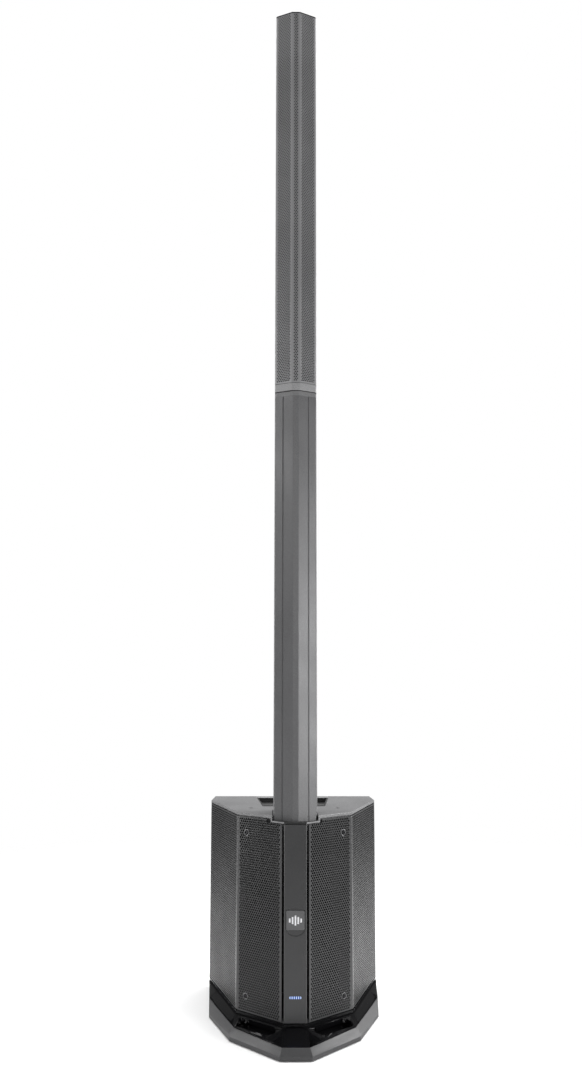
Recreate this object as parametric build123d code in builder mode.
from build123d import *
import os
from math import asin, atan, atan2, cos, degrees, hypot, pi, sin

os.makedirs("parts", exist_ok=True)

# A column PA system: a powered bass cabinet on a faceted plinth, a hollow spacer that plugs into
# its top, and a slim loudspeaker array that plugs into the spacer. Millimetres, +Z up, the front
# towards -Y, the origin on the floor under the middle of the bounding box.

# ---------------------------------------------------------------- driving sizes
# Whole system
overall_width = 350.0
overall_depth = 432.0
sub_height = 402.0  # top of the cap on the bass cabinet
seat_depth = 9.5  # how far the column's foot stands below that top
spacer_height = 825.0
shadow_gap = 2.0  # open line between the spacer and the array
array_height = 810.5
toe_reach = 82.0  # plinth ahead of the column's ridge

# Column section, shared by the spacer and the array
column_half = 41.2
column_setback = 15.0  # side edges, behind the front ridge
column_depth = 100.0
column_wall = 3.0
column_rear_chamfer = 16.0
spacer_ridge_half = 5.3
array_ridge_half = 8.3

# Bass cabinet in plan
strip_half = 21.0  # half the centre trim
strip_lead = 9.0  # trim face ahead of the ridge
bend_inset = 65.0  # front bend, in from the widest side
bend_run = 68.0  # front bend, behind the ridge
rear_run = 74.0  # widest side, ahead of the rear
rear_tuck = 3.0
cabinet_wall = 6.0
grille_gap = 4.0  # wall behind the grille's face
foot_z = 37.5  # underside of the cabinet
deck = 8.0  # floor and roof plates

# Plinth
foot_lift = 1.5
rim_band_top = 9.0
rim_top = 20.0  # at the nose
rim_climb = 0.026  # rise of the rim for each millimetre to the rear
rim_inset = 9.3
pan_floor = 5.5
plinth_nose_half = 28.5
plinth_shoulder_out = 9.5  # outside the cabinet's bend
plinth_shoulder_run = 95.5
plinth_hip_in = 9.5
plinth_hip_run = 221.0
tray_wall = 3.0
tray_ledge = 3.0  # step round the cabinet's foot
tray_neck = 5.5  # black band between that step and the cabinet
rib_half = 16.5
pocket_length = 88.0
pocket_width = 26.0
foot_radius = 14.0
screw_post = 9.0

# Cap, handle and column socket
cap_lip = 5.0  # visible edge of the cap
cap_skin = 4.5
cap_chamfer = 1.2
seat_floor = 8.5  # cap under the column's foot
seat_wall = 3.0  # sill and cheeks round the column's foot
pocket_gap = 2.0  # around the column's foot
plug_width = 56.0
plug_depth = 64.0
plug_length = 65.0
plug_clearance = 0.4
plug_wall = 4.0
handle_front_half = 62.0
handle_rear_half = 79.0
handle_run = 161.0  # front of the recess, behind the ridge
handle_rear_margin = 10.5
handle_depth = 64.0
handle_chamfer = 2.5
bar_depth = 38.0
bar_height = 20.0
bar_drop = 12.0  # grip bar below the cap

# Grilles, trim, badge and light
sheet = 1.2
foam_front = 1.4
foam_back = 3.8
trim_gap = 4.1
grille_shadow = 2.5  # dark line under the cap
notch_gap = 1.5  # between the grilles and the column's seat
screw_inset = 18.0  # grille screws, in from the bend
screw_low = 30.0  # above the cabinet's underside
screw_high = 29.0  # below the grille's top
badge_width = 33.7
badge_height = 34.3
badge_z = 218.0
light_width = 22.0
light_height = 4.3
light_z = 83.0

# Woofer
baffle_run = 148.0  # baffle's face, behind the ridge
baffle_thickness = 12.0
woofer_edge_clearance = 3.5
woofer_depth = 84.0  # baffle's face to the basket's back
port_radius = 22.0
port_length = 90.0

# Rear panel
panel_half = 115.0
panel_low = 60.0
panel_high = 330.0
panel_recess = 22.0
panel_thickness = 3.0
ledge = 10.0
knob_radius = 8.0
knob_height = 14.0

# Array
array_plug_width = 46.0
array_plug_depth = 56.0
array_plug_length = 60.0
collar_height = 15.3
array_cap_height = 3.5
driver_count = 8
driver_frame = 72.0

# ---------------------------------------------------------------- places worked out from them
front_y = -overall_depth / 2
rear_y = overall_depth / 2
side_half = overall_width / 2
ridge_y = front_y + toe_reach
strip_y = ridge_y - strip_lead
bend_half = side_half - bend_inset
bend_y = ridge_y + bend_run
side_y = rear_y - rear_run
cabinet_rear_y = rear_y - 1.0
column_y = ridge_y + column_depth / 2
column_z = sub_height - seat_depth
spacer_top_z = column_z + spacer_height
array_z = spacer_top_z + shadow_gap
array_top_z = array_z + array_height
cap_lip_z = sub_height - cap_lip
roof_top_z = column_z - seat_floor
roof_z = roof_top_z - deck  # underside of the roof plate
floor_top_z = foot_z + deck
grille_low_z = foot_z + 2.5
grille_high_z = cap_lip_z - grille_shadow
baffle_y = ridge_y + baffle_run
woofer_z = roof_z - 154.0
panel_y = cabinet_rear_y - panel_recess  # outer face of the rear panel

cabinet_half = [
    (strip_half, strip_y),
    (bend_half, bend_y),
    (side_half, side_y),
    (side_half - rear_tuck, cabinet_rear_y),
]
plinth_half = [
    (plinth_nose_half, front_y),
    (bend_half + plinth_shoulder_out, front_y + plinth_shoulder_run),
    (side_half - plinth_hip_in, front_y + plinth_hip_run),
    (side_half, side_y),
    (side_half - rear_tuck, rear_y),
]
facet_length = hypot(bend_half - strip_half, bend_y - strip_y)
facet_along = ((bend_half - strip_half) / facet_length, (bend_y - strip_y) / facet_length)
facet_angle = degrees(atan2(facet_along[1], facet_along[0]))


def facet_y(x):
    """Face of a front grille at the distance x from the middle."""
    return strip_y + (abs(x) - strip_half) * facet_along[1] / facet_along[0]


def side_x(y, inset):
    """Half-width at y of the side facet moved in by inset, square to the facet."""
    slope = (side_half - bend_half) / (side_y - bend_y)
    return bend_half + (y - bend_y) * slope - inset * hypot(1, slope)


def facet_plane(side, x, z, inset=0.0):
    """Plane on a front facet, its normal outwards; side is -1 for left and 1 for right."""
    normal = (side * facet_along[1], -facet_along[0], 0)
    origin = (side * x - normal[0] * inset, facet_y(x) - normal[1] * inset, z)
    return Plane(origin=origin, x_dir=(facet_along[0], side * facet_along[1], 0), z_dir=normal)


def outline(half_points, inset=0.0):
    """Closed plan face from its right-hand half, front to rear, moved in by inset."""
    points = half_points + [(-x, y) for x, y in reversed(half_points)]
    with BuildSketch() as face:
        with BuildLine():
            Polyline(*points, close=True)
        make_face()
        if inset:
            offset(amount=-inset, kind=Kind.INTERSECTION)
    return face.sketch


def moved_in(half_points, insets):
    """Right-hand half of a plan whose edges, front to rear, each move in by their own inset."""
    first, last = half_points[0], half_points[-1]
    points = [(-first[0], first[1]), *half_points, (-last[0], last[1])]
    lines = []
    for (ax, ay), (bx, by), inset in zip(points, points[1:], insets):
        length = hypot(bx - ax, by - ay)
        along = ((bx - ax) / length, (by - ay) / length)
        lines.append(((ax - along[1] * inset, ay + along[0] * inset), along))
    corners = []
    for ((ax, ay), u), ((bx, by), v) in zip(lines, lines[1:]):
        reach = ((bx - ax) * v[1] - (by - ay) * v[0]) / (u[0] * v[1] - u[1] * v[0])
        corners.append((ax + u[0] * reach, ay + u[1] * reach))
    return corners


def cabinet_plan():
    """Plan of the moulded cabinet: in behind the grilles, full width behind them."""
    with BuildSketch() as face:
        add(outline(cabinet_half, grille_gap))
        with BuildSketch(mode=Mode.PRIVATE) as rear:
            add(outline(cabinet_half))
            with Locations((0, side_y + overall_depth / 2)):
                Rectangle(overall_width * 2, overall_depth, mode=Mode.INTERSECT)
        add(rear.sketch)
    return face.sketch


def column_section(ridge_half, inset=0.0):
    """Section of the column with its blunt front ridge and chamfered back."""
    rear = ridge_y + column_depth
    half = [
        (ridge_half, ridge_y),
        (column_half, ridge_y + column_setback),
        (column_half, rear - column_rear_chamfer),
        (column_half - column_rear_chamfer, rear),
    ]
    points = half + [(-x, y) for x, y in reversed(half)]
    with BuildSketch() as face:
        with BuildLine():
            Polyline(*points, close=True)
        make_face()
        rows = face.vertices().group_by(Axis.Y)
        fillet(rows[0], 3.0)
        rows = face.vertices().group_by(Axis.X)
        fillet([v for v in rows[0] + rows[-1] if v.Y < column_y], 4.0)
        fillet([v for v in face.vertices() if v.Y > column_y], 8.0)
        if inset:
            offset(amount=-inset, kind=Kind.INTERSECTION)
    return face.sketch


def turned(points, x, z):
    """Round piece about the line along Y through (x, z); each point is (y, radius)."""
    with BuildPart() as piece:
        with BuildSketch(Plane(origin=(x, 0, z), x_dir=(0, 1, 0), z_dir=(1, 0, 0))):
            with BuildLine():
                Polyline(*points, close=True)
            make_face()
        revolve(axis=Axis((x, 0, z), (0, 1, 0)))
    return piece.part


def block(x, y, z):
    """Box between two corners, given as its two limits along each axis."""
    size = (x[1] - x[0], y[1] - y[0], z[1] - z[0])
    corner = (Align.MIN, Align.MIN, Align.MIN)
    return Pos(x[0], y[0], z[0]) * Box(*size, align=corner, mode=Mode.PRIVATE)


def screw(place, head_radius, head_height, shank_radius, shank_length):
    """Pan-head screw with a hexagon socket; the head stands on the plane."""
    with BuildPart() as piece:
        with BuildSketch(place):
            Circle(head_radius)
        extrude(amount=head_height, taper=22)
        with BuildSketch(place):
            Circle(shank_radius)
        extrude(amount=-shank_length)
        with BuildSketch(place.offset(head_height)):
            RegularPolygon(head_radius * 0.42, 6)
        extrude(amount=-head_height * 0.6, mode=Mode.SUBTRACT)
    return piece.part


def drill(place, radius, depth):
    """Round cutter that runs both ways from the plane."""
    with BuildPart() as piece:
        with BuildSketch(place):
            Circle(radius)
        extrude(amount=depth, both=True)
    return piece.part


def facing_rear(x, z, y):
    """Plane at y whose normal points to the rear."""
    return Plane(origin=(x, y, z), x_dir=(-1, 0, 0), z_dir=(0, 1, 0))


def facing_front(x, z, y):
    """Plane at y whose normal points to the front."""
    return Plane(origin=(x, y, z), x_dir=(1, 0, 0), z_dir=(0, -1, 0))


def socket_flange(clearance):
    """Plan of the column socket's flange, kept back from the front grilles."""
    margin = 2 * (plug_clearance + plug_wall + 6.0 + clearance)
    with BuildSketch() as face:
        with Locations((0, column_y)):
            Rectangle(plug_width + margin, plug_depth + margin)
        add(outline(cabinet_half, grille_gap + 4.0 - clearance), mode=Mode.INTERSECT)
    return face.sketch


def save(piece, name):
    piece.part.label = name
    export_step(piece.part, f"parts/{name}.step")


grille_screw_x = bend_half - screw_inset
grille_screw_z = (foot_z + screw_low, grille_high_z - screw_high)
grille_screw_places = [
    facet_plane(side, grille_screw_x, z) for side in (-1, 1) for z in grille_screw_z
]
cap_screw_spots = [(side * 86.0, ridge_y + 130.0) for side in (-1, 1)]
cap_screw_places = [Plane(origin=(x, y, sub_height - 3.0)) for x, y in cap_screw_spots]
plinth_screw_spots = [(side * 108.0, y) for side in (-1, 1) for y in (ridge_y + 135, rear_y - 60)]
foot_spots = [
    (side * x, y)
    for side in (-1, 1)
    for x, y in ((38, front_y + 42), (side_half - 36, front_y + 205), (side_half - 34, rear_y - 34))
]

# ---------------------------------------------------------------- plinth
# Textured moulding under the cabinet: a pan whose rim climbs to the rear and is bevelled in front.
rim_angle = atan(rim_climb)


def rim_plane(lift=0.0):
    """Plane of the rim's upper edge; its origin is over the nose."""
    slope = (0, -sin(rim_angle), cos(rim_angle))
    return Plane(origin=(0, front_y, rim_top + lift), x_dir=(1, 0, 0), z_dir=slope)


def on_rim(half_points):
    """Plan half as seen in the rim's own plane."""
    return [(x, (y - front_y) / cos(rim_angle)) for x, y in half_points]


def front_insets(front, side):
    """One inset for the three front edges of the plinth and one for its side and rear edges."""
    return [front, front, front, side, side, side]


with BuildPart() as base_plinth:
    with BuildSketch(Plane.XY.offset(foot_lift)):
        add(outline(plinth_half))
    extrude(amount=rim_band_top - foot_lift)
    with BuildSketch(Plane.XY.offset(rim_band_top)):
        add(outline(plinth_half))
    with BuildSketch(rim_plane()):
        add(outline(on_rim(moved_in(plinth_half, front_insets(rim_inset, 0.0)))))
    loft(ruled=True)
    with BuildSketch(Plane.XY.offset(pan_floor)):
        add(outline(plinth_half, rim_inset + 1.0))
    extrude(amount=foot_z, mode=Mode.SUBTRACT)
    with Locations(*[(x, y, pan_floor) for x, y in plinth_screw_spots]):
        Cylinder(screw_post, foot_z - 3.6 - pan_floor, align=(Align.CENTER, Align.CENTER, Align.MIN))
    with Locations(*[(x, y, 0) for x, y in plinth_screw_spots]):
        Cylinder(5.6, 7.5 * 2, mode=Mode.SUBTRACT)
        Cylinder(2.8, foot_z * 2, mode=Mode.SUBTRACT)
    with Locations(*[(x, y, 0) for x, y in foot_spots]):
        Cylinder(foot_radius + 0.2, 7.0, mode=Mode.SUBTRACT)
save(base_plinth, "base_plinth")

# Gloss inlay that climbs from the rim to a ledge round the cabinet's foot, with a toe rib in the
# middle and a pocket under each front facet. At the sides it stands flush on the rim.
ledge_z = foot_z - tray_neck
tray_edge = rim_inset + 1.4
tray_flush = 0.45
pocket_centre = 0.41  # along the facet, from the strip to the bend
pocket_wall = 2.5


def ledge_plan():
    """Half plan of the ledge, with a point added midway along the flank."""
    corners = moved_in(cabinet_half, [-tray_ledge, -tray_ledge, -tray_ledge, tray_flush, tray_flush])
    bend, hip = corners[1], corners[2]
    middle = ((bend[0] + hip[0]) / 2, (bend[1] + hip[1]) / 2)
    return [corners[0], bend, middle, hip, corners[3]]


rim_line = on_rim(moved_in(plinth_half, front_insets(tray_edge, tray_flush)))
flush_foot = moved_in(cabinet_half, [0.0, 0.0, 0.0, tray_flush, tray_flush])
with BuildPart() as tray_form:
    with BuildSketch(rim_plane(0.1)):
        add(outline(rim_line))
    with BuildSketch(Plane.XY.offset(ledge_z)):
        add(outline(ledge_plan()))
    loft(ruled=True)
    with BuildSketch(Plane.XY.offset(ledge_z)):
        add(outline(flush_foot))
    extrude(amount=tray_neck)
    with BuildSketch(Plane.XY.offset(pan_floor)):
        add(outline(plinth_half, tray_edge + 0.3))
    extrude(amount=rim_top + 0.5 - pan_floor)


def tray_pocket(side, wall, low, high):
    """Upright block with rounded ends, lying along the foot of a front facet."""
    x = strip_half + (bend_half - strip_half) * pocket_centre
    ahead = tray_ledge + 1.0 + pocket_wall + pocket_width / 2
    spot = facet_plane(side, x, low, -ahead).origin
    with BuildPart() as piece:
        with BuildSketch(Plane(origin=(spot.X, spot.Y, low))):
            SlotOverall(pocket_length + 2 * wall, pocket_width + 2 * wall, rotation=side * facet_angle)
        extrude(amount=high - low)
    return piece.part


pocket_floor_z = pan_floor + 8.0
with BuildPart() as base_tray:
    add(tray_form.part)
    with BuildSketch(Plane.XY.offset(pan_floor)):
        add(outline(plinth_half, tray_edge + 2 * tray_wall))
    extrude(amount=rim_top - tray_wall - pan_floor, mode=Mode.SUBTRACT)
    with BuildSketch(Plane.XY.offset(rim_top - tray_wall)):
        add(outline(cabinet_half, 2 * tray_wall))
    extrude(amount=foot_z - rim_top, mode=Mode.SUBTRACT)
    for side in (-1, 1):
        add(tray_pocket(side, pocket_wall, pocket_floor_z, rim_top))
        add(tray_pocket(side, 0.0, pocket_floor_z + pocket_wall, foot_z + 1), mode=Mode.SUBTRACT)
    with BuildSketch(Plane.YZ):
        with BuildLine():
            Polyline(
                (front_y + tray_edge + 0.5, rim_top - 2.0),
                (front_y + tray_edge + 0.5, rim_top + 0.8),
                (strip_y - tray_ledge, ledge_z + 1.2),
                (strip_y - tray_ledge, ledge_z - 2.0),
                close=True,
            )
        make_face()
    extrude(amount=rib_half, both=True)
    with Locations(*[(x, y, foot_z) for x, y in plinth_screw_spots]):
        Cylinder(3.4, tray_wall * 3, mode=Mode.SUBTRACT)
save(base_tray, "base_tray")

with BuildPart() as rubber_feet:
    with Locations(*[(x, y, 0) for x, y in foot_spots]):
        Cylinder(foot_radius, 3.5, align=(Align.CENTER, Align.CENTER, Align.MIN))
    chamfer(rubber_feet.faces().group_by(Axis.Z)[0].edges(), 0.8)
save(rubber_feet, "rubber_feet")

with BuildPart() as plinth_screws:
    for x, y in plinth_screw_spots:
        seat = Plane(origin=(x, y, 7.5), x_dir=(1, 0, 0), z_dir=(0, 0, -1))
        add(screw(seat, 5.0, 3.4, 2.5, floor_top_z - 1.0 - 7.5))
save(plinth_screws, "plinth_screws")

# ---------------------------------------------------------------- cabinet
# Moulded enclosure, open in front of the baffle, with a floor and roof that carry the grilles.
window_half = panel_half - ledge
with BuildPart() as cabinet_shell:
    with BuildSketch(Plane.XY.offset(foot_z)):
        add(cabinet_plan())
    extrude(amount=roof_top_z - foot_z)
    with BuildSketch(Plane.XY.offset(floor_top_z)):
        add(outline(cabinet_half, grille_gap + cabinet_wall))
    extrude(amount=roof_z - floor_top_z, mode=Mode.SUBTRACT)
    front_opening = bend_half - grille_gap - cabinet_wall
    add(
        block((-front_opening, front_opening), (front_y, bend_y + 6), (floor_top_z, roof_z)),
        mode=Mode.SUBTRACT,
    )
    # Lugs that the grille screws bite into.
    for side in (-1, 1):
        spot = facet_plane(side, grille_screw_x, 0, grille_gap + 6.0).origin
        with BuildSketch(Plane(origin=(spot.X, spot.Y, floor_top_z))):
            Rectangle(16.0, 12.0, rotation=side * facet_angle)
        extrude(amount=grille_screw_z[0] + 8.5 - floor_top_z)
        with BuildSketch(Plane(origin=(spot.X, spot.Y, grille_screw_z[1] - 8.5))):
            Rectangle(16.0, 12.0, rotation=side * facet_angle)
        extrude(amount=roof_z - grille_screw_z[1] + 8.5)
    for place in grille_screw_places:
        add(drill(place, 2.55, 20.0), mode=Mode.SUBTRACT)
    # Recess for the rear panel, with a ledge behind it.
    add(
        block(
            (-panel_half - 5, panel_half + 5),
            (panel_y - panel_thickness - 6, cabinet_rear_y - 2),
            (panel_low - 5, panel_high + 5),
        )
    )
    add(
        block(
            (-panel_half, panel_half),
            (panel_y - panel_thickness, rear_y + 1),
            (panel_low, panel_high),
        ),
        mode=Mode.SUBTRACT,
    )
    add(
        block(
            (-window_half, window_half),
            (panel_y - panel_thickness - 7, rear_y),
            (panel_low + ledge, panel_high - ledge),
        ),
        mode=Mode.SUBTRACT,
    )
    # Openings in the roof for the column socket and the handle cup.
    with BuildSketch(Plane.XY.offset(roof_z - 1)):
        add(socket_flange(0.3))
    extrude(amount=deck + 2, mode=Mode.SUBTRACT)
    handle_front_y = ridge_y + handle_run
    handle_rear_y = cabinet_rear_y - handle_rear_margin
    handle_half = [(handle_front_half, handle_front_y), (handle_rear_half, handle_rear_y)]
    with BuildSketch(Plane.XY.offset(roof_z - 1)):
        add(outline(handle_half))
    extrude(amount=deck + 2, mode=Mode.SUBTRACT)
    with Locations(*[(x, y, foot_z) for x, y in plinth_screw_spots]):
        Cylinder(2.55, deck * 2 + 1, mode=Mode.SUBTRACT)
    with Locations(*[(x, y, roof_top_z) for x, y in cap_screw_spots]):
        Cylinder(2.55, deck * 2 + 1, mode=Mode.SUBTRACT)
save(cabinet_shell, "cabinet_shell")

# Baffle board, with the woofer's cut-out and two ports.
woofer_radius = side_x(baffle_y - 4.0, grille_gap + cabinet_wall) - woofer_edge_clearance
port_x = side_x(baffle_y, grille_gap + cabinet_wall) - port_radius - 17.0
port_z = floor_top_z + port_radius + 9.0
port_spots = [(side * port_x, port_z) for side in (-1, 1)]
woofer_screw_count = 8
woofer_screw_places = [
    facing_front(
        (woofer_radius - 5.5) * cos(2 * pi * (i + 0.5) / woofer_screw_count),
        woofer_z + (woofer_radius - 5.5) * sin(2 * pi * (i + 0.5) / woofer_screw_count),
        baffle_y - 4.0,
    )
    for i in range(woofer_screw_count)
]
with BuildPart() as front_baffle:
    with BuildSketch(Plane.XY.offset(floor_top_z + 0.1)):
        add(outline(cabinet_half, grille_gap + cabinet_wall + 0.1))
        with Locations((0, baffle_y + baffle_thickness / 2)):
            Rectangle(overall_width, baffle_thickness, mode=Mode.INTERSECT)
    extrude(amount=roof_z - floor_top_z - 0.2)
    add(drill(facing_front(0, woofer_z, baffle_y), woofer_radius - 9.0, 40.0), mode=Mode.SUBTRACT)
    for x, z in port_spots:
        add(drill(facing_front(x, z, baffle_y), port_radius + 2.2, 40.0), mode=Mode.SUBTRACT)
    for place in woofer_screw_places:
        add(drill(place, 2.05, 14.5), mode=Mode.SUBTRACT)
save(front_baffle, "front_baffle")

with BuildPart() as port_tubes:
    for x, z in port_spots:
        add(
            turned(
                [
                    (baffle_y - 2.0, port_radius),
                    (baffle_y - 2.0, port_radius + 6.0),
                    (baffle_y, port_radius + 6.0),
                    (baffle_y, port_radius + 2.0),
                    (baffle_y + port_length, port_radius + 2.0),
                    (baffle_y + port_length, port_radius),
                ],
                x,
                z,
            )
        )
save(port_tubes, "port_tubes")

# ---------------------------------------------------------------- cap, handle and column socket
pocket_half = column_half + pocket_gap
pocket_rear_y = ridge_y + column_depth + pocket_gap
with BuildPart() as top_cap:
    with BuildSketch(Plane.XY.offset(cap_lip_z)):
        add(outline(cabinet_half))
    extrude(amount=cap_lip)
    chamfer(top_cap.faces().sort_by(Axis.Z)[-1].edges(), cap_chamfer)
    with BuildSketch(Plane.XY.offset(roof_top_z)):
        add(outline(cabinet_half, 5.0))
    extrude(amount=cap_lip_z - roof_top_z)
    # Behind the grilles the rim comes down on the cabinet.
    with BuildSketch(Plane.XY.offset(roof_top_z)):
        add(outline(cabinet_half))
        with Locations((0, rear_y)):
            Rectangle(overall_width, 2 * (rear_y - side_y - notch_gap), mode=Mode.INTERSECT)
    extrude(amount=cap_lip_z - roof_top_z)
    # Sill and cheeks that reach forward round the column's foot.
    with BuildSketch(Plane.XY.offset(column_z - seat_wall)):
        add(outline(cabinet_half))
        with Locations((0, front_y)):
            Rectangle(2 * (pocket_half + seat_wall), 2 * (column_y - front_y), mode=Mode.INTERSECT)
    extrude(amount=cap_lip_z - column_z + seat_wall)
    with BuildSketch(Plane.XY.offset(roof_top_z)):
        add(outline(cabinet_half, 11.0))
        with Locations((0, (front_y + pocket_rear_y) / 2)):
            Rectangle(2 * pocket_half + 8, pocket_rear_y - front_y + 8, mode=Mode.SUBTRACT)
        add(outline(handle_half, -4.0), mode=Mode.SUBTRACT)
        with Locations(*cap_screw_spots):
            Circle(8.0, mode=Mode.SUBTRACT)
    extrude(amount=sub_height - cap_skin - roof_top_z, mode=Mode.SUBTRACT)
    # Seat for the column's foot, open at the front, and the hole for its plug.
    add(
        block((-pocket_half, pocket_half), (front_y, pocket_rear_y), (column_z, sub_height + 1)),
        mode=Mode.SUBTRACT,
    )
    add(
        block(
            (-plug_width / 2 - 1, plug_width / 2 + 1),
            (column_y - plug_depth / 2 - 1, column_y + plug_depth / 2 + 1),
            (roof_top_z - 1, column_z + 1),
        ),
        mode=Mode.SUBTRACT,
    )
    with BuildSketch(Plane.XY.offset(roof_top_z - 1)):
        add(outline(handle_half))
    extrude(amount=sub_height + 2 - roof_top_z, mode=Mode.SUBTRACT)
    rim = [
        edge
        for edge in top_cap.faces().filter_by(Axis.Z).sort_by(Axis.Z)[-1].edges()
        if edge.center().Y > handle_front_y - 1 and abs(edge.center().X) < handle_rear_half
        and edge.center().Y < handle_rear_y + 1
    ]
    chamfer(rim, handle_chamfer)
    with Locations(*[(x, y, sub_height) for x, y in cap_screw_spots]):
        Cylinder(4.9, 6.0, mode=Mode.SUBTRACT)
        Cylinder(2.8, 60.0, mode=Mode.SUBTRACT)
save(top_cap, "top_cap")

# Black tub that drops through the cap behind the column, and the grip bar across it.
cup_low_z = sub_height - handle_depth
cup_wall = 3.0
with BuildPart() as handle_cup:
    with BuildSketch(Plane.XY.offset(cup_low_z)):
        add(outline(handle_half, 0.3))
    extrude(amount=sub_height - 3.0 - cup_low_z)
    with BuildSketch(Plane.XY.offset(cup_low_z + cup_wall)):
        add(outline(handle_half, 0.3 + cup_wall))
    extrude(amount=handle_depth, mode=Mode.SUBTRACT)
save(handle_cup, "handle_cup")

bar_rear_y = handle_rear_y - 0.3 - cup_wall
bar_high_z = sub_height - bar_drop
with BuildPart() as handle_bar:
    with BuildSketch(Plane.YZ):
        with Locations((bar_rear_y - bar_depth / 2, bar_high_z - bar_height / 2)):
            RectangleRounded(bar_depth, bar_height, 7.0)
    extrude(amount=overall_width / 2, both=True)
    with BuildSketch(Plane.XY.offset(bar_high_z - bar_height)):
        add(outline(handle_half, 0.3 + cup_wall))
    extrude(amount=bar_height, mode=Mode.INTERSECT)
save(handle_bar, "handle_bar")

socket_floor_z = column_z - plug_length - 8.0
bore_width = plug_width + 2 * plug_clearance
bore_depth = plug_depth + 2 * plug_clearance
with BuildPart() as column_socket:
    with BuildSketch(Plane.XY.offset(socket_floor_z - plug_wall)):
        with Locations((0, column_y)):
            RectangleRounded(bore_width + 2 * plug_wall, bore_depth + 2 * plug_wall, 5.0)
    extrude(amount=roof_top_z - socket_floor_z + plug_wall)
    with BuildSketch(Plane.XY.offset(roof_top_z - 5.0)):
        add(socket_flange(0.0))
    extrude(amount=5.0)
    with BuildSketch(Plane.XY.offset(socket_floor_z)):
        with Locations((0, column_y)):
            Rectangle(bore_width, bore_depth)
    extrude(amount=plug_length * 2, mode=Mode.SUBTRACT)
save(column_socket, "column_socket")

contact_spots = [(x, column_y + y) for x in (-15.0, 15.0) for y in (-18.0, 18.0)]
with BuildPart() as socket_contacts:
    for x, y in contact_spots:
        with Locations((x, y, socket_floor_z)):
            Cylinder(3.4, 3.0, align=(Align.CENTER, Align.CENTER, Align.MIN))
            Cylinder(2.0, 7.6, align=(Align.CENTER, Align.CENTER, Align.MIN))
save(socket_contacts, "socket_contacts")

# ---------------------------------------------------------------- grilles, foam, trim and light
grille_start = strip_half + trim_gap


def grille_band(side, near, far, start, end_gap):
    """Strip of the front plan between two depths, on one side, from start to the side's end."""
    with BuildSketch() as face:
        add(outline(cabinet_half, near))
        add(outline(cabinet_half, far), mode=Mode.SUBTRACT)
        with Locations((side * (start + overall_width / 2), side_y - end_gap - overall_depth / 2)):
            Rectangle(overall_width, overall_depth, mode=Mode.INTERSECT)
    return face.sketch


# Clearance in both grilles and the foam for the seat of the column.
notch_half = pocket_half + seat_wall + notch_gap
seat_notch = block(
    (-notch_half, notch_half),
    (front_y, column_y),
    (column_z - seat_wall - notch_gap, sub_height),
)
for side, side_name in ((-1, "left"), (1, "right")):
    with BuildPart() as grille:
        with BuildSketch(Plane.XY.offset(grille_low_z)):
            add(grille_band(side, 0.0, sheet, grille_start, 0.5))
        extrude(amount=grille_high_z - grille_low_z)
        edge_x = sorted((side * grille_start, side * (grille_start + sheet)))
        add(
            block(
                edge_x,
                (facet_y(grille_start) + 0.6, facet_y(grille_start) + 10.0),
                (floor_top_z + 0.3, roof_z - 0.3),
            )
        )
        add(seat_notch, mode=Mode.SUBTRACT)
        for place in grille_screw_places:
            add(drill(place, 2.8, 20.0), mode=Mode.SUBTRACT)
    save(grille, f"grille_{side_name}")

with BuildPart() as grille_foam:
    for side in (-1, 1):
        with BuildSketch(Plane.XY.offset(grille_low_z + 1.0)):
            add(grille_band(side, foam_front, foam_back, grille_start + 2.0, 1.5))
        extrude(amount=grille_high_z - grille_low_z - 2.0)
    add(seat_notch, mode=Mode.SUBTRACT)
    for place in grille_screw_places:
        add(drill(place, 3.2, 20.0), mode=Mode.SUBTRACT)
save(grille_foam, "grille_foam")

with BuildPart() as cabinet_screws:
    for place in grille_screw_places:
        add(screw(place, 4.2, 2.6, 2.5, 15.0))
    for place in cap_screw_places:
        add(screw(place, 4.2, 2.6, 2.5, 15.0))
save(cabinet_screws, "cabinet_screws")

trim_low_z = foot_z + 1.5
trim_high_z = column_z - seat_wall - notch_gap
trim_face = 3.0
badge_arch_high = 5.0
badge_arch_low = 11.0
with BuildPart() as centre_trim:
    with BuildSketch(facing_front(0, (trim_low_z + trim_high_z) / 2, strip_y + trim_face)):
        Rectangle(2 * strip_half, trim_high_z - trim_low_z)
    extrude(amount=trim_face)
    long_edges = centre_trim.faces().sort_by(Axis.Y)[0].edges().filter_by(Axis.Z)
    chamfer(long_edges, 1.4)
    for side in (-1, 1):
        edge_x = sorted((side * (strip_half - 2.4), side * strip_half))
        add(block(edge_x, (strip_y + 2, strip_y + 15), (floor_top_z + 0.3, roof_z - 0.3)))
    # Shallow dish with arched ends, around and behind the badge.
    half = badge_width / 2 + 0.6
    high = badge_height / 2
    with BuildSketch(facing_front(0, badge_z, strip_y + 1.2)):
        with BuildLine():
            ThreePointArc((-half, high), (0, high + badge_arch_high), (half, high))
            Line((half, high), (half, -high))
            ThreePointArc((half, -high), (0, -high - badge_arch_low), (-half, -high))
            Line((-half, -high), (-half, high))
        make_face()
    extrude(amount=5.0, mode=Mode.SUBTRACT)
    with BuildSketch(facing_front(0, light_z, strip_y)):
        SlotOverall(light_width + 0.4, light_height + 0.4)
    extrude(amount=10.0, both=True, mode=Mode.SUBTRACT)
save(centre_trim, "centre_trim")

with BuildPart() as badge_plate:
    with BuildSketch(facing_front(0, badge_z, strip_y + 1.2)):
        RectangleRounded(badge_width, badge_height, 2.5)
    extrude(amount=2.2)
    chamfer(badge_plate.faces().sort_by(Axis.Y)[0].edges(), 0.5)
save(badge_plate, "badge_plate")

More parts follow.
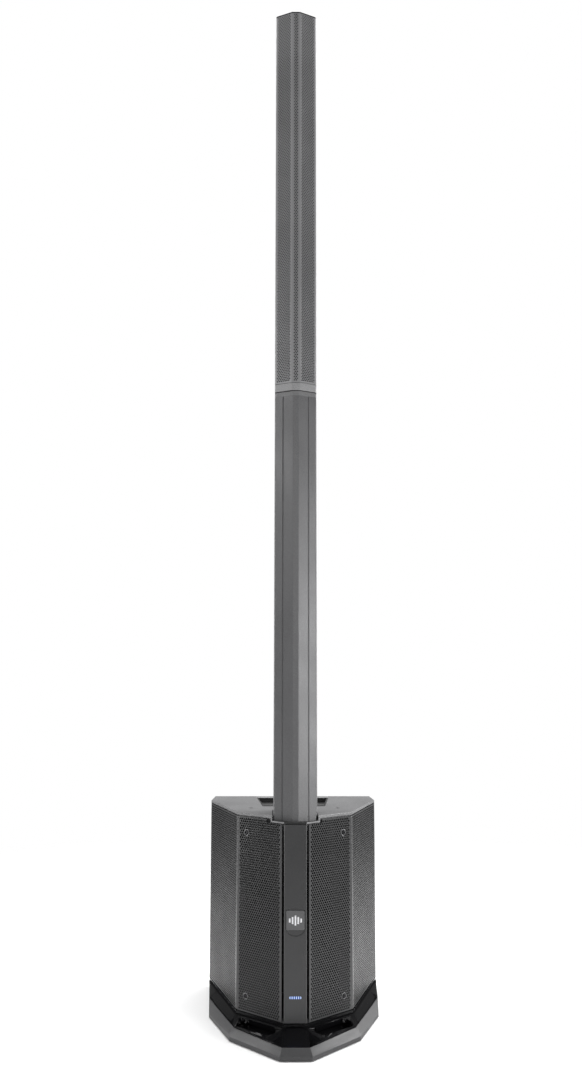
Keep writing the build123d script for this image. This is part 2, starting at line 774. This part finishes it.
with BuildPart() as status_light:
    with BuildSketch(facing_front(0, light_z, strip_y + 3.0)):
        SlotOverall(light_width, light_height)
    extrude(amount=2.8)
    with BuildSketch(facing_front(0, light_z, strip_y + 4.2)):
        Rectangle(light_width + 5, light_height + 5)
    extrude(amount=1.2)
save(status_light, "status_light")

# ---------------------------------------------------------------- woofer
cone_edge = woofer_radius - 34.0
basket_back = 60.0
with BuildPart() as woofer_basket:
    add(
        turned(
            [
                (baffle_y - 4.0, woofer_radius - 14),
                (baffle_y - 4.0, woofer_radius),
                (baffle_y, woofer_radius),
                (baffle_y, woofer_radius - 11),
                (baffle_y + woofer_depth - 4, basket_back + 1),
                (baffle_y + woofer_depth, basket_back + 1),
                (baffle_y + woofer_depth, 26.0),
                (baffle_y + woofer_depth - 3, 26.0),
                (baffle_y + woofer_depth - 3, basket_back - 2),
                (baffle_y + woofer_depth - 5, basket_back - 2),
                (baffle_y - 1.0, woofer_radius - 14),
            ],
            0,
            woofer_z,
        )
    )
    with BuildSketch(facing_rear(0, woofer_z, baffle_y + 8)):
        with PolarLocations((basket_back + woofer_radius) / 2, 6):
            Rectangle(woofer_radius - basket_back - 4, 48.0)
    extrude(amount=woofer_depth - 16, mode=Mode.SUBTRACT)
    for place in woofer_screw_places:
        add(drill(place, 2.3, 14.0), mode=Mode.SUBTRACT)
save(woofer_basket, "woofer_basket")

roll = (woofer_radius - 14 - cone_edge) / 2
with BuildPart() as woofer_surround:
    middle = cone_edge + roll
    line_y = baffle_y - 4.0
    with BuildSketch(Plane(origin=(0, 0, woofer_z), x_dir=(0, 1, 0), z_dir=(1, 0, 0))):
        with BuildLine():
            ThreePointArc((line_y, middle - roll), (line_y - roll, middle), (line_y, middle + roll))
            Line((line_y, middle + roll), (line_y, woofer_radius - 10))
            Line((line_y, woofer_radius - 10), (line_y - 1, woofer_radius - 10))
            Line((line_y - 1, woofer_radius - 10), (line_y - 1, middle + roll + 1))
            ThreePointArc(
                (line_y - 1, middle + roll + 1),
                (line_y - roll - 1.1, middle),
                (line_y - 1, middle - roll - 1),
            )
            Line((line_y - 1, middle - roll - 1), (line_y, middle - roll))
        make_face()
    revolve(axis=Axis((0, 0, woofer_z), (0, 1, 0)))
save(woofer_surround, "woofer_surround")

coil_radius = 20.0
neck_y = baffle_y + 42.0
with BuildPart() as woofer_cone:
    add(
        turned(
            [
                (baffle_y - 3.6, cone_edge - 1.5),
                (baffle_y - 2.2, cone_edge - 1.5),
                (neck_y + 1.4, coil_radius + 0.5),
                (neck_y, coil_radius + 0.5),
            ],
            0,
            woofer_z,
        )
    )
save(woofer_cone, "woofer_cone")

cap_radius = 32.0
cap_rise = 10.0
cap_skin_depth = 1.2
cap_seat_y = neck_y - (neck_y - baffle_y + 3.6) * (cap_radius - coil_radius) / (cone_edge - coil_radius)


def dome(seat_y, radius, rise):
    """Three points of a dome's arc, from its axis to its edge, bulging to the front."""
    ball = (radius**2 + rise**2) / (2 * rise)
    half_angle = asin(radius / ball) / 2
    crown_y = seat_y - rise
    return (crown_y, 0), (crown_y + ball * (1 - cos(half_angle)), ball * sin(half_angle)), (seat_y, radius)


with BuildPart() as woofer_dust_cap:
    outer_arc = dome(cap_seat_y - 0.8, cap_radius, cap_rise)
    inner_arc = dome(cap_seat_y - 0.8, cap_radius - cap_skin_depth, cap_rise - cap_skin_depth)
    with BuildSketch(Plane(origin=(0, 0, woofer_z), x_dir=(0, 1, 0), z_dir=(1, 0, 0))):
        with BuildLine():
            ThreePointArc(*outer_arc)
            Line(outer_arc[2], inner_arc[2])
            ThreePointArc(*reversed(inner_arc))
            Line(inner_arc[0], outer_arc[0])
        make_face()
    revolve(axis=Axis((0, 0, woofer_z), (0, 1, 0)))
save(woofer_dust_cap, "woofer_dust_cap")

magnet_y = baffle_y + woofer_depth + 0.1
with BuildPart() as voice_coil:
    add(
        turned(
            [
                (neck_y - 2, coil_radius - 0.8),
                (neck_y - 2, coil_radius + 0.2),
                (magnet_y + 10, coil_radius + 0.2),
                (magnet_y + 10, coil_radius - 0.8),
            ],
            0,
            woofer_z,
        )
    )
save(voice_coil, "voice_coil")

spider_y = baffle_y + 60.0
spider_waves = 4
frame_slope = (woofer_radius - 12.0 - basket_back) / (woofer_depth - 4.0)
spider_edge = woofer_radius - 11.0 - frame_slope * (spider_y - baffle_y) - 5.2
wave = (spider_edge - coil_radius - 0.5) / spider_waves
with BuildPart() as woofer_spider:
    for i in range(spider_waves):
        inner = coil_radius + 0.5 + i * wave
        add(
            turned(
                [
                    (spider_y, inner),
                    (spider_y - 2.0, inner + wave / 2),
                    (spider_y, inner + wave),
                    (spider_y + 0.8, inner + wave),
                    (spider_y - 1.2, inner + wave / 2),
                    (spider_y + 0.8, inner),
                ],
                0,
                woofer_z,
            )
        )
save(woofer_spider, "woofer_spider")

with BuildPart() as woofer_magnet:
    add(
        turned(
            [
                (magnet_y, coil_radius + 0.9),
                (magnet_y, 54.0),
                (magnet_y + 6, 54.0),
                (magnet_y + 6, 58.0),
                (magnet_y + 20, 58.0),
                (magnet_y + 20, 54.0),
                (magnet_y + 26, 54.0),
                (magnet_y + 26, 0.0),
                (magnet_y, 0.0),
                (magnet_y, coil_radius - 1.5),
                (magnet_y + 20, coil_radius - 1.5),
                (magnet_y + 20, 32.0),
                (magnet_y + 6, 32.0),
                (magnet_y + 6, coil_radius + 0.9),
            ],
            0,
            woofer_z,
        )
    )
save(woofer_magnet, "woofer_magnet")

with BuildPart() as woofer_screws:
    for place in woofer_screw_places:
        add(screw(place, 3.6, 2.4, 2.0, 14.0))
save(woofer_screws, "woofer_screws")

# ---------------------------------------------------------------- rear panel
jack_z = panel_high - 34.0
knob_z = jack_z - 48.0
input_jack_spots = [(-78.0, jack_z), (-30.0, jack_z)]
output_jack_spot = (22.0, jack_z)
aux_jack_spot = (58.0, jack_z)
button_spot = (86.0, jack_z)
knob_spots = {"level_knob_1": -78.0, "level_knob_2": -30.0, "aux_knob": 22.0, "sub_knob": 76.0}
inlet_x = -64.0
inlet_z = panel_low + 34.0
rocker_x = inlet_x + 34.0
rocker_radius = 9.2
panel_screw_spots = [
    (side * (panel_half - 5), z)
    for side in (-1, 1)
    for z in (panel_low + 5, (panel_low + panel_high) / 2, panel_high - 5)
]
inner_y = panel_y - panel_thickness

with BuildPart() as rear_panel:
    add(
        block(
            (-panel_half + 0.4, panel_half - 0.4),
            (inner_y, panel_y),
            (panel_low + 0.4, panel_high - 0.4),
        )
    )
    for x, z in input_jack_spots + [output_jack_spot]:
        add(drill(facing_rear(x, z, panel_y), 12.0, 9.0), mode=Mode.SUBTRACT)
    add(drill(facing_rear(*aux_jack_spot, panel_y), 4.9, 9.0), mode=Mode.SUBTRACT)
    add(drill(facing_rear(*button_spot, panel_y), 4.5, 9.0), mode=Mode.SUBTRACT)
    for x in knob_spots.values():
        add(drill(facing_rear(x, knob_z, panel_y), 3.5, 9.0), mode=Mode.SUBTRACT)
    add(
        block((inlet_x - 14.2, rocker_x + 8.2), (inner_y - 1, panel_y + 1), (inlet_z - 11.2, inlet_z + 11.2)),
        mode=Mode.SUBTRACT,
    )
    for x, z in panel_screw_spots:
        add(drill(facing_rear(x, z, panel_y), 2.2, 9.0), mode=Mode.SUBTRACT)
save(rear_panel, "rear_panel")

with BuildPart() as panel_screws:
    for x, z in panel_screw_spots:
        add(screw(facing_rear(x, z, panel_y), 3.4, 2.2, 2.0, panel_thickness - 0.1))
save(panel_screws, "panel_screws")


def jack_shell(x, z):
    """Flange and barrel of a chassis connector, its barrel open to the rear."""
    with BuildPart() as piece:
        with BuildSketch(facing_rear(x, z, panel_y)):
            RectangleRounded(26.0, 31.0, 3.0)
        extrude(amount=2.0)
        with BuildSketch(facing_rear(x, z, panel_y)):
            Circle(11.7)
        extrude(amount=-23.0)
        with BuildSketch(facing_rear(x, z, panel_y + 2.0)):
            Circle(9.6)
        extrude(amount=-20.0, mode=Mode.SUBTRACT)
    return piece.part


for index, (x, z) in enumerate(input_jack_spots, 1):
    with BuildPart() as input_jack:
        add(jack_shell(x, z))
        with BuildSketch(facing_rear(x, z, panel_y - 18.0)):
            Circle(3.2)
            with PolarLocations(6.0, 3, start_angle=90):
                Circle(1.5)
        extrude(amount=-3.0, mode=Mode.SUBTRACT)
    save(input_jack, f"input_jack_{index}")

with BuildPart() as output_jack:
    add(jack_shell(*output_jack_spot))
    with BuildSketch(facing_rear(*output_jack_spot, panel_y - 18.5)):
        with PolarLocations(4.7, 3, start_angle=90):
            Circle(1.2)
    extrude(amount=15.0)
save(output_jack, "output_jack")

with BuildPart() as aux_jack:
    with BuildSketch(facing_rear(*aux_jack_spot, panel_y)):
        RegularPolygon(7.2, 6)
    extrude(amount=2.4)
    with BuildSketch(facing_rear(*aux_jack_spot, panel_y + 3.4)):
        Circle(4.7)
    extrude(amount=-24.0)
    with BuildSketch(facing_rear(*aux_jack_spot, panel_y + 3.4)):
        Circle(3.2)
    extrude(amount=-20.0, mode=Mode.SUBTRACT)
save(aux_jack, "aux_jack")

# Mains inlet with its three blades, and the frame of the power switch beside it.
with BuildPart() as power_inlet:
    frame_x = (inlet_x - 17.0, rocker_x + 11.0)
    add(block(frame_x, (panel_y, panel_y + 2.5), (inlet_z - 14.0, inlet_z + 14.0)))
    add(block((inlet_x - 14.0, rocker_x + 8.0), (panel_y - 20, panel_y), (inlet_z - 11.0, inlet_z + 11.0)))
    add(
        block((inlet_x - 12.0, inlet_x + 12.0), (panel_y - 15, panel_y + 3), (inlet_z - 8.3, inlet_z + 8.3)),
        mode=Mode.SUBTRACT,
    )
    for x, z in ((-7.0, -1.5), (0.0, 2.5), (7.0, -1.5)):
        add(
            block(
                (inlet_x + x - 1.0, inlet_x + x + 1.0),
                (panel_y - 16, panel_y - 2),
                (inlet_z + z - 2.0, inlet_z + z + 2.0),
            )
        )
    add(
        block(
            (rocker_x - 6.3, rocker_x + 6.3),
            (panel_y - 14, panel_y + 3),
            (inlet_z - rocker_radius - 0.4, inlet_z + rocker_radius + 0.4),
        ),
        mode=Mode.SUBTRACT,
    )
save(power_inlet, "power_inlet")

# Rocker: a drum about X whose face is a shallow V, so one half stands out at a time.
rocker_y = panel_y + 1.5
rocker_rise = rocker_radius * 0.36
with BuildPart() as power_rocker:
    with BuildSketch(Plane(origin=(rocker_x, rocker_y, inlet_z), x_dir=(0, 1, 0), z_dir=(1, 0, 0))):
        Circle(rocker_radius)
        with BuildLine():
            Polyline(
                (2.6, -2 * rocker_radius),
                (2.6, 0),
                (2.6 + 2 * rocker_rise, 2 * rocker_radius),
                (4 * rocker_radius, 2 * rocker_radius),
                (4 * rocker_radius, -2 * rocker_radius),
                close=True,
            )
        make_face(mode=Mode.SUBTRACT)
    extrude(amount=6.0, both=True)
save(power_rocker, "power_rocker")

for name, x in knob_spots.items():
    with BuildPart() as knob:
        add(
            turned(
                [
                    (panel_y - 6.0, 0),
                    (panel_y - 6.0, 3.0),
                    (panel_y + 0.6, 3.0),
                    (panel_y + 0.6, knob_radius),
                    (panel_y + 3.0, knob_radius),
                    (panel_y + 4.0, knob_radius - 1.2),
                    (panel_y + knob_height - 0.8, knob_radius - 1.8),
                    (panel_y + knob_height, knob_radius - 2.6),
                    (panel_y + knob_height, 0),
                ],
                x,
                knob_z,
            )
        )
        with BuildSketch(facing_rear(x, knob_z, panel_y + 3.0)):
            with Locations((0, knob_radius / 2)):
                Rectangle(1.6, knob_radius - 0.8)
        extrude(amount=knob_height - 2.4)
    save(knob, name)

with BuildPart() as link_button:
    with BuildSketch(facing_rear(*button_spot, panel_y + 3.2)):
        Circle(4.1)
    extrude(amount=-10.0)
    chamfer(link_button.faces().sort_by(Axis.Y)[-1].edges(), 0.6)
save(link_button, "link_button")

# Finned aluminium sink on the outside of the panel, inside the recess.
sink_low = inlet_z + 24.0
sink_high = knob_z - 22.0
with BuildPart() as heatsink:
    add(block((-98, 98), (panel_y, panel_y + 4), (sink_low, sink_high)))
    with BuildSketch(facing_rear(0, (sink_low + sink_high) / 2, panel_y + 4)):
        with GridLocations(14.0, 1, 14, 1):
            Rectangle(2.2, sink_high - sink_low)
    extrude(amount=14.0)
save(heatsink, "heatsink")

board_y = inner_y - 18.0
with BuildPart() as mixer_board:
    add(block((-100, 100), (board_y - 12, board_y - 10.4), (knob_z - 18, jack_z + 22)))
    for x in knob_spots.values():
        with BuildSketch(facing_rear(x, knob_z, board_y - 10.4)):
            Rectangle(14.0, 14.0)
        extrude(amount=17.0)
    for x in (-60, -20, 20, 60):
        add(block((x - 8, x + 8), (board_y - 16, board_y - 12), (knob_z + 14, knob_z + 30)))
save(mixer_board, "mixer_board")

with BuildPart() as amp_board:
    add(block((-98, -3), (board_y, board_y + 1.6), (sink_low, sink_high - 4)))
    add(block((-92, -10), (board_y + 1.6, inner_y), (sink_high - 30, sink_high - 10)))
    for x in (-80, -50, -20):
        with BuildSketch(facing_front(x, sink_low + 22, board_y)):
            Circle(11.0)
            Circle(4.0, mode=Mode.SUBTRACT)
        extrude(amount=12.0)
save(amp_board, "amp_board")

with BuildPart() as power_supply:
    add(block((3, 98), (board_y, board_y + 1.6), (sink_low, sink_high - 4)))
    add(block((10, 92), (board_y + 1.6, inner_y), (sink_high - 30, sink_high - 10)))
    add(block((12, 46), (board_y - 24, board_y), (sink_low + 8, sink_low + 38)))
    for x in (62, 84):
        with BuildSketch(facing_front(x, sink_low + 24, board_y)):
            Circle(10.0)
        extrude(amount=22.0)
save(power_supply, "power_supply")

# ---------------------------------------------------------------- spacer
groove_x = 24.8
groove_y = ridge_y + column_setback * (groove_x - spacer_ridge_half) / (column_half - spacer_ridge_half)
head_plate = 8.0
sleeve_gap = 0.2
with BuildPart() as spacer_body:
    with BuildSketch(Plane.XY.offset(column_z)):
        add(column_section(spacer_ridge_half))
        add(column_section(spacer_ridge_half, column_wall), mode=Mode.SUBTRACT)
        with Locations((groove_x, groove_y), (-groove_x, groove_y)):
            Circle(1.3, mode=Mode.SUBTRACT)
    extrude(amount=spacer_height - head_plate)
save(spacer_body, "spacer_body")

with BuildPart() as spacer_foot:
    with BuildSketch(Plane.XY.offset(column_z)):
        add(column_section(spacer_ridge_half, column_wall + sleeve_gap))
    extrude(amount=22.0)
    with BuildSketch(Plane.XY.offset(column_z - plug_length)):
        with Locations((0, column_y)):
            Rectangle(plug_width, plug_depth)
    extrude(amount=plug_length)
    chamfer(spacer_foot.faces().sort_by(Axis.Z)[0].edges(), 2.0)
    with BuildSketch(Plane.XY.offset(column_z - plug_length + 6.0)):
        with Locations((0, column_y)):
            Rectangle(plug_width - 2 * plug_wall, plug_depth - 2 * plug_wall)
    extrude(amount=plug_length + 30, mode=Mode.SUBTRACT)
    with Locations(*[(x, y, column_z - plug_length) for x, y in contact_spots]):
        Cylinder(4.2, 1.8, mode=Mode.SUBTRACT)
save(spacer_foot, "spacer_foot")

array_bore_width = array_plug_width + 2 * plug_clearance
array_bore_depth = array_plug_depth + 2 * plug_clearance
array_socket_low = spacer_top_z - array_plug_length - 8.0
with BuildPart() as spacer_head:
    with BuildSketch(Plane.XY.offset(spacer_top_z - head_plate)):
        add(column_section(spacer_ridge_half))
    extrude(amount=head_plate)
    with BuildSketch(Plane.XY.offset(spacer_top_z - head_plate - 20)):
        add(column_section(spacer_ridge_half, column_wall + sleeve_gap))
    extrude(amount=20)
    with BuildSketch(Plane.XY.offset(array_socket_low - plug_wall)):
        with Locations((0, column_y)):
            Rectangle(array_bore_width + 2 * plug_wall, array_bore_depth + 2 * plug_wall)
    extrude(amount=spacer_top_z - head_plate - array_socket_low + plug_wall)
    with BuildSketch(Plane.XY.offset(array_socket_low)):
        with Locations((0, column_y)):
            Rectangle(array_bore_width, array_bore_depth)
    extrude(amount=array_plug_length + 20, mode=Mode.SUBTRACT)
save(spacer_head, "spacer_head")

array_contact_spots = [(x, column_y + y) for x in (-12.0, 12.0) for y in (-16.0, 16.0)]
with BuildPart() as spacer_contacts:
    with Locations(*[(x, y, column_z - plug_length + 0.1) for x, y in contact_spots]):
        Cylinder(4.0, 0.8, align=(Align.CENTER, Align.CENTER, Align.MIN))
    for x, y in array_contact_spots:
        with Locations((x, y, array_socket_low)):
            Cylinder(3.0, 3.0, align=(Align.CENTER, Align.CENTER, Align.MIN))
            Cylinder(1.8, 7.6, align=(Align.CENTER, Align.CENTER, Align.MIN))
save(spacer_contacts, "spacer_contacts")

# Four insulated leads that run straight up the hollow spacer.
lead_spots = [(x, column_y + y) for x in (-6.0, 6.0) for y in (-6.0, 6.0)]
with BuildPart() as spacer_leads:
    with Locations(*[(x, y, column_z - plug_length + 6.0) for x, y in lead_spots]):
        Cylinder(
            1.8,
            array_socket_low - plug_wall - (column_z - plug_length + 6.0),
            align=(Align.CENTER, Align.CENTER, Align.MIN),
        )
save(spacer_leads, "spacer_leads")

# ---------------------------------------------------------------- array
collar_top_z = array_z + collar_height
array_cap_z = array_top_z - array_cap_height
shell_front_y = ridge_y + 24.0
driver_y = shell_front_y + 2.5  # face of the little baffle
array_baffle_thickness = 5.0


def front_of(y):
    """Cutting box for everything in front of y."""
    return block((-overall_width, overall_width), (front_y * 2, y), (0, array_top_z * 2))


def rear_of(y):
    """Cutting box for everything behind y."""
    return block((-overall_width, overall_width), (y, rear_y * 2), (0, array_top_z * 2))


with BuildPart() as array_shell:
    with BuildSketch(Plane.XY.offset(collar_top_z)):
        add(column_section(array_ridge_half))
        add(column_section(array_ridge_half, column_wall), mode=Mode.SUBTRACT)
    extrude(amount=array_cap_z - collar_top_z)
    add(front_of(shell_front_y), mode=Mode.SUBTRACT)
save(array_shell, "array_shell")

with BuildPart() as array_grille:
    with BuildSketch(Plane.XY.offset(collar_top_z + 0.6)):
        add(column_section(array_ridge_half))
        add(column_section(array_ridge_half, sheet), mode=Mode.SUBTRACT)
    extrude(amount=array_cap_z - collar_top_z - 1.2)
    add(rear_of(shell_front_y - 0.5), mode=Mode.SUBTRACT)
save(array_grille, "array_grille")

with BuildPart() as array_foam:
    with BuildSketch(Plane.XY.offset(collar_top_z + 4.0)):
        add(column_section(array_ridge_half, foam_front))
        add(column_section(array_ridge_half, foam_back), mode=Mode.SUBTRACT)
    extrude(amount=array_cap_z - collar_top_z - 24.0)
    add(rear_of(ridge_y + 17.0), mode=Mode.SUBTRACT)
save(array_foam, "array_foam")

# Foot moulding: the visible collar, a pad that leaves the shadow gap, and the plug.
foot_step = 3.0  # spigot inside the shell, above the collar
with BuildPart() as array_foot:
    with BuildSketch(Plane.XY.offset(array_z)):
        add(column_section(array_ridge_half))
    extrude(amount=collar_height)
    with BuildSketch(Plane.XY.offset(spacer_top_z)):
        add(column_section(array_ridge_half, 4.0))
    extrude(amount=shadow_gap)
    with BuildSketch(Plane.XY.offset(collar_top_z)):
        add(column_section(array_ridge_half, foam_back + 0.6))
    extrude(amount=foot_step)
    with BuildSketch(Plane.XY.offset(spacer_top_z - array_plug_length)):
        with Locations((0, column_y)):
            Rectangle(array_plug_width, array_plug_depth)
    extrude(amount=array_plug_length)
    chamfer(array_foot.faces().sort_by(Axis.Z)[0].edges(), 2.0)
    with BuildSketch(Plane.XY.offset(spacer_top_z - array_plug_length + 6.0)):
        with Locations((0, column_y)):
            Rectangle(array_plug_width - 2 * plug_wall, array_plug_depth - 2 * plug_wall)
    extrude(amount=array_plug_length + 60, mode=Mode.SUBTRACT)
save(array_foot, "array_foot")

with BuildPart() as array_cap:
    with BuildSketch(Plane.XY.offset(array_cap_z)):
        add(column_section(array_ridge_half))
    extrude(amount=array_cap_height)
    chamfer(array_cap.faces().sort_by(Axis.Z)[-1].edges(), 1.5)
    with BuildSketch(Plane.XY.offset(array_cap_z - 14.0)):
        add(column_section(array_ridge_half, foam_back + 0.6))
        add(column_section(array_ridge_half, foam_back + 3.6), mode=Mode.SUBTRACT)
    extrude(amount=14.0)
save(array_cap, "array_cap")

driver_low_z = collar_top_z + 16.0
driver_high_z = array_cap_z - 22.0
driver_pitch = (driver_high_z - driver_low_z) / driver_count
driver_zs = [driver_low_z + driver_pitch * (i + 0.5) for i in range(driver_count)]
driver_hole = 33.0
cone_radius = 25.0
frame_y = driver_y - 2.0
driver_back = 30.0
screw_square = driver_frame - 9.0
driver_screw_places = [
    facing_front(sx * screw_square / 2, z + sz * screw_square / 2, frame_y)
    for z in driver_zs
    for sx in (-1, 1)
    for sz in (-1, 1)
]
with BuildPart() as array_baffle:
    half = column_half - column_wall - 0.3
    add(
        block(
            (-half, half),
            (driver_y, driver_y + array_baffle_thickness),
            (collar_top_z + foot_step + 2.0, array_cap_z - 15.0),
        )
    )
    for z in driver_zs:
        add(drill(facing_front(0, z, driver_y), driver_hole, 10.0), mode=Mode.SUBTRACT)
    for place in driver_screw_places:
        add(drill(place, 1.55, 9.0), mode=Mode.SUBTRACT)
save(array_baffle, "array_baffle")

with BuildPart() as driver_frames:
    for z in driver_zs:
        with BuildSketch(facing_front(0, z, driver_y)):
            RectangleRounded(driver_frame, driver_frame, 6.0)
            Circle(30.0, mode=Mode.SUBTRACT)
        extrude(amount=2.0)
        add(
            turned(
                [
                    (driver_y - 1.0, 30.0),
                    (driver_y - 1.0, 32.0),
                    (driver_y + driver_back - 3, 20.0),
                    (driver_y + driver_back, 20.0),
                    (driver_y + driver_back, 14.5),
                    (driver_y + driver_back - 2, 14.5),
                    (driver_y + driver_back - 2, 18.0),
                ],
                0,
                z,
            )
        )
    for place in driver_screw_places:
        add(drill(place, 1.8, 9.0), mode=Mode.SUBTRACT)
save(driver_frames, "driver_frames")

with BuildPart() as driver_surrounds:
    for z in driver_zs:
        with BuildSketch(Plane(origin=(0, 0, z), x_dir=(0, 1, 0), z_dir=(1, 0, 0))):
            with BuildLine():
                ThreePointArc((frame_y, 26.0), (frame_y - 2.5, 28.5), (frame_y, 31.0))
                Line((frame_y, 31.0), (frame_y, 32.5))
                Line((frame_y, 32.5), (frame_y - 0.6, 32.5))
                Line((frame_y - 0.6, 32.5), (frame_y - 0.6, 31.4))
                ThreePointArc((frame_y - 0.6, 31.4), (frame_y - 3.1, 28.5), (frame_y - 0.6, 25.6))
                Line((frame_y - 0.6, 25.6), (frame_y, 26.0))
            make_face()
        revolve(axis=Axis((0, 0, z), (0, 1, 0)))
save(driver_surrounds, "driver_surrounds")

# Each cone is moulded with its dome and coil former.
former = 10.0
with BuildPart() as driver_cones:
    for z in driver_zs:
        add(
            turned(
                [
                    (frame_y, cone_radius),
                    (frame_y + 0.8, cone_radius),
                    (frame_y + 11.8, former + 0.5),
                    (driver_y + driver_back + 5, former + 0.5),
                    (driver_y + driver_back + 5, former - 0.3),
                    (frame_y + 9.0, former - 0.3),
                    (frame_y + 5.0, 7.5),
                    (frame_y + 3.2, 4.0),
                    (frame_y + 2.6, 0.0),
                    (frame_y + 1.6, 0.0),
                    (frame_y + 2.4, 4.6),
                    (frame_y + 4.4, 8.6),
                    (frame_y + 7.6, former + 1.3),
                ],
                0,
                z,
            )
        )
save(driver_cones, "driver_cones")

motor_y = driver_y + driver_back + 0.1
with BuildPart() as driver_magnets:
    for z in driver_zs:
        add(
            turned(
                [
                    (motor_y, former + 1.1),
                    (motor_y, 24.0),
                    (motor_y + 14, 24.0),
                    (motor_y + 14, 0.0),
                    (motor_y, 0.0),
                    (motor_y, former - 1.0),
                    (motor_y + 10, former - 1.0),
                    (motor_y + 10, former + 1.1),
                ],
                0,
                z,
            )
        )
save(driver_magnets, "driver_magnets")

with BuildPart() as driver_screws:
    for place in driver_screw_places:
        add(screw(place, 2.6, 1.6, 1.5, 6.5))
save(driver_screws, "driver_screws")
